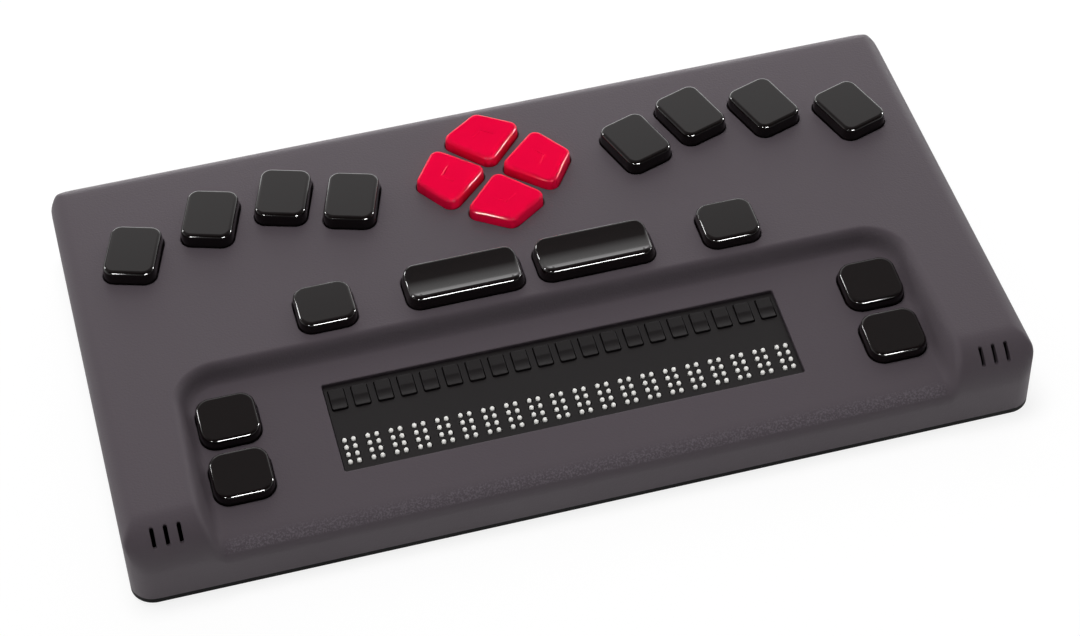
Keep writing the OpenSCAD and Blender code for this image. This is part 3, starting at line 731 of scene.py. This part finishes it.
def casing_mesh(settings, gap):
    """Closed mesh of the casing: outer skin, inner skin, windows, slots, walls and the inlet's opening."""
    skin = CasingSkin(settings)
    us, vs = skin.rows()
    openings = window_loops(skin, gap)
    grid = np.array([(u, v) for v in vs for u in us])
    near = shelf_distance(*skin.unflat(grid)[:2])
    grid = grid[(near < WALL_FREE[0]) | (near > WALL_FREE[1])]
    free = np.concatenate([grid, skin.shelf_rows(vs)])
    for rings in openings:
        free = free[~inside_convex(free, rings[-1][0], RING_FREE)]
    low, high = free.min(axis=0), free.max(axis=0)
    on_rim = ((np.abs(free - low) < TINY) | (np.abs(free - high) < TINY)).any(axis=1)
    rim, free = free[on_rim], free[~on_rim]
    centre = (low + high) / 2
    reach = (high - low) / 2
    around = [math.atan2(p[1], p[0]) for p in (rim - centre) / reach]
    rim = rim[np.argsort(around)]
    flat, sink, edges, loops = [rim], [np.zeros(len(rim))], ring_edges(0, len(rim)), []
    first = len(rim)
    for rings in openings:
        loops.append((first, len(rings[0][0])))
        for ring, drop in rings:
            edges += ring_edges(first, len(ring))
            flat.append(ring)
            sink.append(np.full(len(ring), drop))
            first += len(ring)
    flat = np.concatenate(flat + [free])
    sink = np.concatenate(sink + [np.zeros(len(free))])
    faces = np.array(fill(flat, edges))
    middles = flat[faces].mean(axis=1)
    for rings in openings:
        faces = faces[~inside_convex(middles, rings[0][0])]
        middles = flat[faces].mean(axis=1)
    count = len(flat)
    points = [skin.surface(flat, sink), skin.surface(flat, 0.0, skin.wall)]
    faces = faces.tolist() + [[v + count for v in reversed(face)] for face in faces.tolist()]
    for begin, size in loops:
        faces += [(i, j, j + count, i + count) for i, j in ring_edges(begin, size)]
    # Upright walls under the rolled edges, down to the base plate.
    outer_low, inner_low = points[0][:len(rim)].copy(), points[1][:len(rim)].copy()
    outer_low[:, 2] = inner_low[:, 2] = SPLIT
    points += [outer_low, inner_low]
    rear = [i for i in range(len(rim)) if flat[i, 1] > high[1] - TINY and abs(flat[i, 0]) < INLET_HALF]
    for i, j in ring_edges(0, len(rim)):
        o_i, o_j = 2 * count + i, 2 * count + j
        n_i, n_j = o_i + len(rim), o_j + len(rim)
        faces.append((o_j, o_i, n_i, n_j))
        if i not in rear or j not in rear:
            faces += [(j, i, o_i, o_j), (i + count, j + count, n_j, n_i)]
    points = np.concatenate(points)
    return rear_panel(points, faces, rear, count, 2 * count, len(rim))


def rear_panel(points, faces, rear, count, low_first, rim_count):
    """Middle of the rear wall, with the stadium-shaped opening for the inlet."""
    box_low, box_high = box_mm("usb_socket")
    middle, half = (box_low + box_high) / 2, (box_high - box_low) / 2
    radius = half[2]
    ends = [(radius - half[0], middle[2]), (half[0] - radius, middle[2])]
    loop, _ = round_outline(ends, radius + INLET_GAP, 12)
    loops = []
    for shift, flip in ((0, True), (count, False)):
        top = [i + shift for i in rear]
        low = [low_first + (rim_count if shift else 0) + i for i in rear]
        around = np.array(top + low)
        first = len(points)
        deep = points[top[0], 1]
        points = np.concatenate([points, np.column_stack([loop[:, 0], np.full(len(loop), deep), loop[:, 1]])])
        index = np.concatenate([around, np.arange(first, first + len(loop))])
        flat = points[index][:, [0, 2]]
        made = np.array(fill(flat, ring_edges(len(around), len(loop))))
        made = made[~inside_convex(flat[made].mean(axis=1), loop)]
        faces += [[int(index[v]) for v in (reversed(face) if flip else face)] for face in made.tolist()]
        loops.append(first)
    for i, j in ring_edges(0, len(loop)):
        faces.append((loops[0] + j, loops[0] + i, loops[1] + i, loops[1] + j))
    return points, faces


# Geometry Nodes

def node_group(name, **inputs):
    """A new geometry tree with inputs of the given kinds, and the sockets that carry them."""
    tree = bpy.data.node_groups.new(name, "GeometryNodeTree")
    for label, kind in inputs.items():
        tree.interface.new_socket(label, in_out="INPUT", socket_type=f"NodeSocket{kind}")
    tree.interface.new_socket("Geometry", in_out="OUTPUT", socket_type="NodeSocketGeometry")
    return tree, add_node(tree, "NodeGroupInput").outputs


def hand_out(tree, instances, material, smooth):
    """Ends a geometry tree: makes its instances real, smooth or as they are, and gives them a material."""
    made = add_node(tree, "GeometryNodeRealizeInstances", inputs={"Geometry": instances})
    if smooth:
        made = add_node(tree, "GeometryNodeSetShadeSmooth", inputs={"Geometry": made})
    made = add_node(tree, "GeometryNodeSetMaterial", inputs={"Geometry": made, "Material": material})
    add_node(tree, "NodeGroupOutput", inputs={"Geometry": made})
    return tree


def grown_mesh(name, base, tree, values):
    """Plain mesh that a geometry tree makes of a base mesh."""
    holder = bpy.data.objects.new(name, base)
    bpy.context.collection.objects.link(holder)
    modifier = holder.modifiers.new("Grown", "NODES")
    modifier.node_group = tree
    for item in tree.interface.items_tree:
        if item.in_out == "INPUT" and item.name in values:
            modifier[item.identifier] = values[item.name]
    graph = bpy.context.evaluated_depsgraph_get()
    mesh = bpy.data.meshes.new_from_object(holder.evaluated_get(graph))
    bpy.data.objects.remove(holder)
    return mesh


def pin_row_tree():
    """A row of round-headed braille pins: one stretched ball at every point of a line, laid on the shelf."""
    tree, give = node_group(
        "Braille pin row", Geometry="Geometry", Count="Int", Pitch="Vector", Start="Vector", Radius="Float",
        Shank="Vector", Turn="Rotation", Material="Material")
    line = add_node(tree, "GeometryNodeMeshLine", {"mode": "OFFSET"}, {
        "Count": give["Count"], "Start Location": give["Start"], "Offset": give["Pitch"]})
    ball = add_node(tree, "GeometryNodeMeshUVSphere", inputs={
        "Segments": 16, "Rings": 10, "Radius": give["Radius"]})
    height = parts(tree, add_node(tree, "GeometryNodeInputPosition"))["Z"]
    below = add_node(tree, "FunctionNodeCompare", {"data_type": "FLOAT", "operation": "LESS_THAN"}, {
        0: height, 1: -TINY})
    pin = add_node(tree, "GeometryNodeSetPosition", inputs={
        "Geometry": ball, "Selection": below, "Offset": give["Shank"]})
    row = add_node(tree, "GeometryNodeInstanceOnPoints", inputs={
        "Points": line, "Instance": pin, "Rotation": give["Turn"]})
    return hand_out(tree, row, give["Material"], smooth=True)


def placed_pieces_tree():
    """One small piece at every point of the base mesh."""
    tree, give = node_group("Pieces at places", Geometry="Geometry", Piece="Object", Material="Material")
    piece = add_node(tree, "GeometryNodeObjectInfo", inputs={"Object": give["Piece"]})
    spread = add_node(tree, "GeometryNodeInstanceOnPoints", inputs={
        "Points": give["Geometry"], "Instance": piece.outputs["Geometry"]})
    return hand_out(tree, spread, give["Material"], smooth=False)


def turned_template(name, rows, crease, segments=40):
    """A turned piece from rows of radius and height, as an object to be copied and then removed."""
    angles = np.linspace(0, math.tau, segments, endpoint=False)
    circle = np.column_stack([np.cos(angles), np.sin(angles)])
    points, faces = loft([raised(radius * circle, z) for radius, z in rows])
    faces.append(tuple(range(len(points) - segments, len(points))))
    template = bpy.data.objects.new(name, smooth_mesh(name, points, faces, crease))
    bpy.context.collection.objects.link(template)
    return template


# Operators

CASING_CREASE, FOOT_CREASE, ROUTING_CREASE, KEY_CREASE = 40, 30, 30, 16
FOOT_RADIUS = 6.0
# Heights of a pin's tip and a routing key's top, in the shelf's frame.
PIN_TIP, ROUTING_TOP = -0.3, -0.4


class PieceOperator:
    """What the operators of this file share."""
    bl_options = {"REGISTER", "UNDO"}

    def execute(self, context):
        self.build(context.scene)
        return {"FINISHED"}


class BRAILLE_OT_casing(PieceOperator, bpy.types.Operator):
    """Makes the upper casing with its shelf, windows and speaker slots"""
    bl_idname = "braille.casing"
    bl_label = "Casing"

    def build(self, scene):
        points, faces = casing_mesh(scene.braille_casing, scene.braille_keys.gap / MM)
        make_piece("casing_shell", points, faces, "Grained ABS, casing", "casing",
                   ["upper_shell"], CASING_CREASE)


class BRAILLE_OT_base(PieceOperator, bpy.types.Operator):
    """Dresses the base plate and its screws, and makes the rubber feet"""
    bl_idname = "braille.base"
    bl_label = "Base and feet"

    def build(self, scene):
        dress("base_plate", "Grained ABS, base")
        dress("screws", "Zinc-plated steel, screws")
        low, high = box_mm("feet")
        radius = FOOT_RADIUS
        foot = turned_template("foot_template", [
            (0.6 * radius, 0.35), (0.66 * radius, 0.0), (radius - 0.6, 0.0), (radius - 0.18, 0.18),
            (radius, 0.6), (radius, high[2])], FOOT_CREASE)
        places = bpy.data.meshes.new("foot_places")
        places.from_pydata([(x * MM, y * MM, 0) for x in (low[0] + radius, high[0] - radius)
                            for y in (low[1] + radius, high[1] - radius)], [], [])
        mesh = grown_mesh("rubber_feet_source", places, placed_pieces_tree(), {
            "Piece": foot, "Material": finish("Moulded rubber, feet")})
        bpy.data.objects.remove(foot)
        place_piece("rubber_feet", mesh, "Moulded rubber, feet", "casing", ["feet"])


class BRAILLE_OT_inner_pieces(PieceOperator, bpy.types.Operator):
    """Dresses the pieces inside the casing and the inlet at the rear"""
    bl_idname = "braille.inner_pieces"
    bl_label = "Inner pieces"

    def build(self, scene):
        for node, material in (
                ("cell_blocks", "Moulded resin, cells"), ("cell_board", "Fibreglass board, green mask"),
                ("key_boards", "Fibreglass board, green mask"), ("key_switches", "Moulded nylon, switches"),
                ("battery", "Shrink film, battery"), ("speakers", "Moulded housing, speakers"),
                ("usb_socket", "Nickel-plated steel, inlet")):
            dress(node, material)


class BRAILLE_OT_braille_line(PieceOperator, bpy.types.Operator):
    """Makes the braille pins and the routing keys, and dresses their cover"""
    bl_idname = "braille.braille_line"
    bl_label = "Braille line"

    def build(self, scene):
        dress("cell_cover", "Matt polycarbonate, cover")
        width, long, dish = sizes(scene.braille_line, "pin_width", "pin_length", "routing_dish")
        tree = pin_row_tree()
        for node in PINS:
            low, high = box_mm(node)
            y = shelf_place(node, PIN_TIP - long / 2)[1]
            start = SHELF @ Vector((low[0] + width / 2, y, PIN_TIP - width / 2))
            pitch = (high[0] - low[0] - width) / (CELLS - 1)
            mesh = grown_mesh(f"{node}_source", bpy.data.meshes.new(f"{node}_base"), tree, {
                "Count": CELLS, "Pitch": (pitch * MM, 0, 0), "Start": start * MM, "Radius": width / 2 * MM,
                "Shank": (0, 0, (width - long) * MM), "Turn": (TILT, 0, 0),
                "Material": finish("Tumbled acetal, pins")})
            place_piece(f"{node}_row", mesh, "Tumbled acetal, pins", node, [node])
        points, faces = routing_key(dish)
        for node in ROUTING:
            make_piece(f"{node}_cap", put(points, shelf_frame(node, ROUTING_FLANGE)), faces,
                       "Matt polycarbonate, cover", node, [node], ROUTING_CREASE)


def routing_key(dish):
    """A routing key on its flange and stem: flat at the rear, with a finger dish in its front half."""
    width, depth = ROUTING_SIZE
    outline, ways = round_outline(rect_corners(width, depth, ROUTING_R), ROUTING_R, 4, 0.5)
    rings = stalk(outline, ways, np.zeros(2), ROUTING_FLANGE)
    bevel = 0.18

    def sunk(y):
        return dish * np.clip(1 - ((y + depth / 4) / (depth / 4)) ** 2, 0, 1)
    for a in map(math.radians, (0, 30, 60, 90)):
        flat = outline + bevel * (math.cos(a) - 1) * ways
        rings.append(raised(flat, ROUTING_TOP + bevel * (math.sin(a) - 1) - sunk(flat[:, 1])))
    inside = [(x, y) for x in np.linspace(-1.5, 1.5, 5) for y in np.arange(-3.0, 3.01, 0.3)]
    return close_lid(rings, inside, [], lambda i, p: ROUTING_TOP - sunk(p[1]))


def build_key(node, rise, shoulder, colour="black", shape=None, loops=(), inside=(), height=None,
              spacing=None):
    """Makes one key in its place; shape bends its rings, and the loops and inner points shape its lid."""
    key_frame, corners, radius = key_frames()[node]
    rings = key_cap(corners, radius, rise, shoulder, bpy.context.scene.braille_keys.slope, spacing)
    if shape:
        rings = [shape(ring) for ring in rings]
    points, faces = close_lid(rings, inside, loops, height or (lambda i, p: rise))
    make_piece(f"{node}_cap", put(points, key_frame), faces, f"Polished ABS, {colour} keys", node, [node],
               KEY_CREASE)


class BRAILLE_OT_dot_keys(PieceOperator, bpy.types.Operator):
    """Makes the eight dot keys of the braille keyboard"""
    bl_idname = "braille.dot_keys"
    bl_label = "Dot keys"

    def build(self, scene):
        for node in FINGERS:
            build_key(node, *sizes(scene.braille_keys, "rise", "shoulder"))


class BRAILLE_OT_square_keys(PieceOperator, bpy.types.Operator):
    """Makes the function keys and the panning keys"""
    bl_idname = "braille.square_keys"
    bl_label = "Function and panning keys"

    def build(self, scene):
        for node in FUNCTIONS + PANNING:
            build_key(node, *sizes(scene.braille_keys, "low_rise", "shoulder"))


class BRAILLE_OT_space_keys(PieceOperator, bpy.types.Operator):
    """Makes the two space keys with a long dish along their tops"""
    bl_idname = "braille.space_keys"
    bl_label = "Space keys"

    def build(self, scene):
        rise, shoulder, dish = sizes(scene.braille_keys, "rise", "shoulder", "dish")
        # Half the dish's width, and how far the ends of the key lean in more than its long sides.
        span, lean = SPACE_SIZE[1] / 2 - 1.5, 0.04

        def share(y):
            return 1 - dish / (rise - SKIRT) * np.clip(1 - (y / span) ** 2, 0, 1)

        def shape(ring):
            bent = ring.copy()
            high = ring[:, 2] > SKIRT
            bent[high, 0] *= 1 - lean * (ring[high, 2] - SKIRT) / (rise - SKIRT)
            bent[high, 2] = SKIRT + (ring[high, 2] - SKIRT) * share(ring[high, 1])
            return bent
        inside = [(x, y) for x in np.linspace(-13.2, 13.2, 14) for y in np.arange(-4.4, 4.41, 0.4)]
        for node in SPACES:
            build_key(node, rise, shoulder, shape=shape, inside=inside,
                      height=lambda i, p: SKIRT + (rise - SKIRT) * share(p[1]), spacing=0.6)


# The chevron on an arrow key, at its foot and at its top.
MARK_FOOT = ((15.6, 0), (13.0, 3.4), (12.6, 3.1), (14.9, 0), (12.6, -3.1), (13.0, -3.4))
MARK_TOP = ((15.4, 0), (12.95, 3.2), (12.7, 3.0), (15.1, 0), (12.7, -3.0), (12.95, -3.2))


class BRAILLE_OT_arrow_keys(PieceOperator, bpy.types.Operator):
    """Makes the four red arrow keys, each with a faint raised chevron that points outwards"""
    bl_idname = "braille.arrow_keys"
    bl_label = "Arrow keys"

    def build(self, scene):
        rise, shoulder, mark = sizes(scene.braille_keys, "low_rise", "red_shoulder", "mark")
        lid = rise - mark
        for node in ARROWS:
            build_key(node, lid, shoulder, "red", loops=(MARK_FOOT, MARK_TOP),
                      height=lambda i, p: rise if i >= len(MARK_FOOT) else lid)


# Stage

FLOOR_CORNERS = ((-4, -4, 0), (4, -4, 0), (4, 4, 0), (-4, 4, 0))
PANEL_CORNERS = ((-0.2, 0.32, 0), (0.5, 0.32, 0), (0.5, 0.32, 0.5), (-0.2, 0.32, 0.5))
# Each lamp's direction from the object, in degrees to the right of its front and above the floor, its size in
# metres, and how the names of the materials that it lights end; a lamp without them lights everything.
BLACK_KEYS, RED_KEYS = ("black keys",), ("red keys",)
LAMPS = {
    "soft": ((-146, 79), (1.0, 0.7), ()),
    "fill": ((10.5, 20), (0.58, 0.2), ("red keys", "pins")),
    "front": ((6.5, 20), (0.86, 0.28), BLACK_KEYS),
    "front_left": ((-39, 20), (0.17, 0.16), BLACK_KEYS),
    "left": ((-133, 26), (0.4, 0.2), BLACK_KEYS),
    "right": ((105, 15), (0.3, 0.3), BLACK_KEYS),
    "red_front": ((10.5, 20), (0.58, 0.2), RED_KEYS),
    "red_left": ((-53, 20), (0.4, 0.16), RED_KEYS),
    "red_right": ((93, 15), (1.0, 0.25), RED_KEYS),
}
LAMP_DISTANCE = 2.0
CAMERA_PLACE = (-0.127301, -0.536268, 0.600287)
CAMERA_TURN = (42.7015, 1.2190, -14.9656)
CAMERA_LENS, CAMERA_SENSOR = 94.960, 36.0


class BRAILLE_OT_stage(PieceOperator, bpy.types.Operator):
    """Makes the floor, the light and the camera"""
    bl_idname = "braille.stage"
    bl_label = "Stage"

    def build(self, scene):
        settings = scene.braille_stage
        scene.view_settings.view_transform = "Standard"
        add_sheet("studio_floor", FLOOR_CORNERS, floor_paint(settings.floor_colour))
        add_sheet("rear_panel", PANEL_CORNERS, panel_light(settings.panel, settings.panel_foot))
        studio_sky(scene, settings.horizon, settings.zenith, settings.dark)
        for name, (way, size, lit) in LAMPS.items():
            add_lamp(f"{name}_lamp", getattr(settings, f"{name}_power"), way, size, lit)
        data = bpy.data.cameras.new("studio_camera")
        data.lens, data.sensor_width = CAMERA_LENS, CAMERA_SENSOR
        data.clip_start, data.clip_end = 0.01, 100
        camera = bpy.data.objects.new("studio_camera", data)
        camera.location = CAMERA_PLACE
        camera.rotation_euler = [math.radians(a) for a in CAMERA_TURN]
        scene.collection.objects.link(camera)
        scene.camera = camera


def add_sheet(name, corners, material):
    """A flat sheet of the studio, in metres."""
    mesh = bpy.data.meshes.new(name)
    mesh.from_pydata(corners, [], [(0, 1, 2, 3)])
    mesh.materials.append(material)
    sheet = bpy.data.objects.new(name, mesh)
    bpy.context.scene.collection.objects.link(sheet)


def add_lamp(name, power, way, size, lit):
    """A flat lamp that faces the object."""
    turn, climb = map(math.radians, way)
    out = math.cos(climb)
    place = LAMP_DISTANCE * Vector((math.sin(turn) * out, -math.cos(turn) * out, math.sin(climb)))
    data = bpy.data.lights.new(name, "AREA")
    data.shape = "RECTANGLE"
    data.size, data.size_y = size
    data.energy = power
    lamp = bpy.data.objects.new(name, data)
    lamp.location = place
    lamp.rotation_euler = (-place).to_track_quat("-Z", "Y").to_euler()
    # The soft lamps give the even light, the small ones only draw the lines of light on the keys.
    lamp.visible_diffuse = name in ("soft_lamp", "fill_lamp")
    lamp.visible_glossy = not lamp.visible_diffuse
    # Sampled one way only, as pieces with lamps of their own otherwise count a soft lamp twice.
    data.cycles.use_multiple_importance_sampling = lamp.visible_glossy
    if lit:
        lamp.light_linking.receiver_collection = lit_pieces(name, lit)
    bpy.context.scene.collection.objects.link(lamp)


def lit_pieces(name, endings):
    """The finished pieces whose material's name ends so, for a lamp that lights nothing else."""
    group = bpy.data.collections.new(name)
    for piece in bpy.context.scene.objects:
        if piece.type == "MESH" and piece.active_material and piece.active_material.name.endswith(endings):
            group.objects.link(piece)
    return group


def floor_paint(colour):
    """Matt white paint: gives the object its soft contact shadow, and reads as plain white to the eye."""
    material = bpy.data.materials.new("Matt paint, floor")
    tree = empty_tree(material)
    rough = ramp(tree, noise(tree, coordinates(tree), 200), (0, 1), (0.85, 0.95))
    lit = add_node(tree, "ShaderNodeBsdfDiffuse", inputs={"Color": tuple(colour), "Roughness": rough})
    # The paint itself is lit to about 0.64; the glow brings it to white, and its shadow stays.
    glow = add_node(tree, "ShaderNodeEmission", inputs={"Color": WHITE, "Strength": 1.1})
    path = add_node(tree, "ShaderNodeLightPath").outputs
    seen = reckon(tree, "MAXIMUM", path["Is Camera Ray"], path["Is Glossy Ray"])
    seen = reckon(tree, "MAXIMUM", seen, path["Is Transmission Ray"])
    show_mix(tree, reckon(tree, "MULTIPLY", seen, 0.77), lit, glow, "ShaderNodeOutputMaterial")
    return material


def panel_light(strength, foot):
    """Lit cloth behind the object, bright low down and dark at its top; the camera sees through it."""
    material = bpy.data.materials.new("Lit cloth, panel")
    tree = empty_tree(material)
    height = parts(tree, coordinates(tree))["Z"]
    fade = ramp(tree, height, (0.25, 0.5), (strength, 0.2))
    low = ramp(tree, height, (0.04, 0.13), (foot, 0.0))
    glow = add_node(tree, "ShaderNodeEmission", inputs={
        "Color": WHITE, "Strength": reckon(tree, "ADD", fade, low)})
    clear = add_node(tree, "ShaderNodeBsdfTransparent")
    path = add_node(tree, "ShaderNodeLightPath").outputs
    show_mix(tree, path["Is Camera Ray"], glow, clear, "ShaderNodeOutputMaterial")
    return material


def studio_sky(scene, horizon, zenith, dark):
    """White walls at the sides and the rear, a darker ceiling and a dark front; the camera sees white."""
    scene.world = bpy.data.worlds.new("Studio")
    tree = empty_tree(scene.world)
    way = parts(tree, coordinates(tree, "Generated"))
    below = reckon(tree, "SUBTRACT", 1.0, way["Z"], clamp=True)
    wall = ramp(tree, reckon(tree, "POWER", below, 3.0), (0, 1), (zenith, horizon))
    side = ramp(tree, way["Y"], (-0.5, 0.2), (dark, 1.0), "SMOOTHSTEP")
    room = add_node(tree, "ShaderNodeBackground", inputs={
        "Color": WHITE, "Strength": reckon(tree, "MULTIPLY", wall, side)})
    plain = add_node(tree, "ShaderNodeBackground", inputs={"Color": WHITE, "Strength": 1.0})
    path = add_node(tree, "ShaderNodeLightPath").outputs
    show_mix(tree, path["Is Camera Ray"], room, plain, "ShaderNodeOutputWorld")


OPERATORS = (BRAILLE_OT_casing, BRAILLE_OT_base, BRAILLE_OT_inner_pieces, BRAILLE_OT_braille_line,
             BRAILLE_OT_dot_keys, BRAILLE_OT_square_keys, BRAILLE_OT_space_keys, BRAILLE_OT_arrow_keys,
             BRAILLE_OT_stage)


class BRAILLE_PT_pieces(bpy.types.Panel):
    """Lists the pieces of the braille display with their sizes and colours"""
    bl_label = "Braille display"
    bl_idname = "BRAILLE_PT_pieces"
    bl_space_type = "VIEW_3D"
    bl_region_type = "UI"
    bl_category = "Braille"

    def draw(self, context):
        for operator in OPERATORS:
            self.layout.operator(operator.bl_idname)
        for name, group in GROUPS.items():
            column = self.layout.column(heading=group.__name__)
            for key in group.__annotations__:
                column.prop(getattr(context.scene, name), key)


def register():
    for kind in (*GROUPS.values(), *OPERATORS, BRAILLE_PT_pieces):
        bpy.utils.register_class(kind)
    for name, group in GROUPS.items():
        setattr(bpy.types.Scene, name, bpy.props.PointerProperty(type=group))


def unregister():
    for name in GROUPS:
        delattr(bpy.types.Scene, name)
    for kind in (BRAILLE_PT_pieces, *reversed(OPERATORS), *reversed(GROUPS.values())):
        bpy.utils.unregister_class(kind)


def main():
    register()
    for operator in OPERATORS:
        family, action = operator.bl_idname.split(".")
        getattr(getattr(bpy.ops, family), action)()


if __name__ == "__main__":
    main()
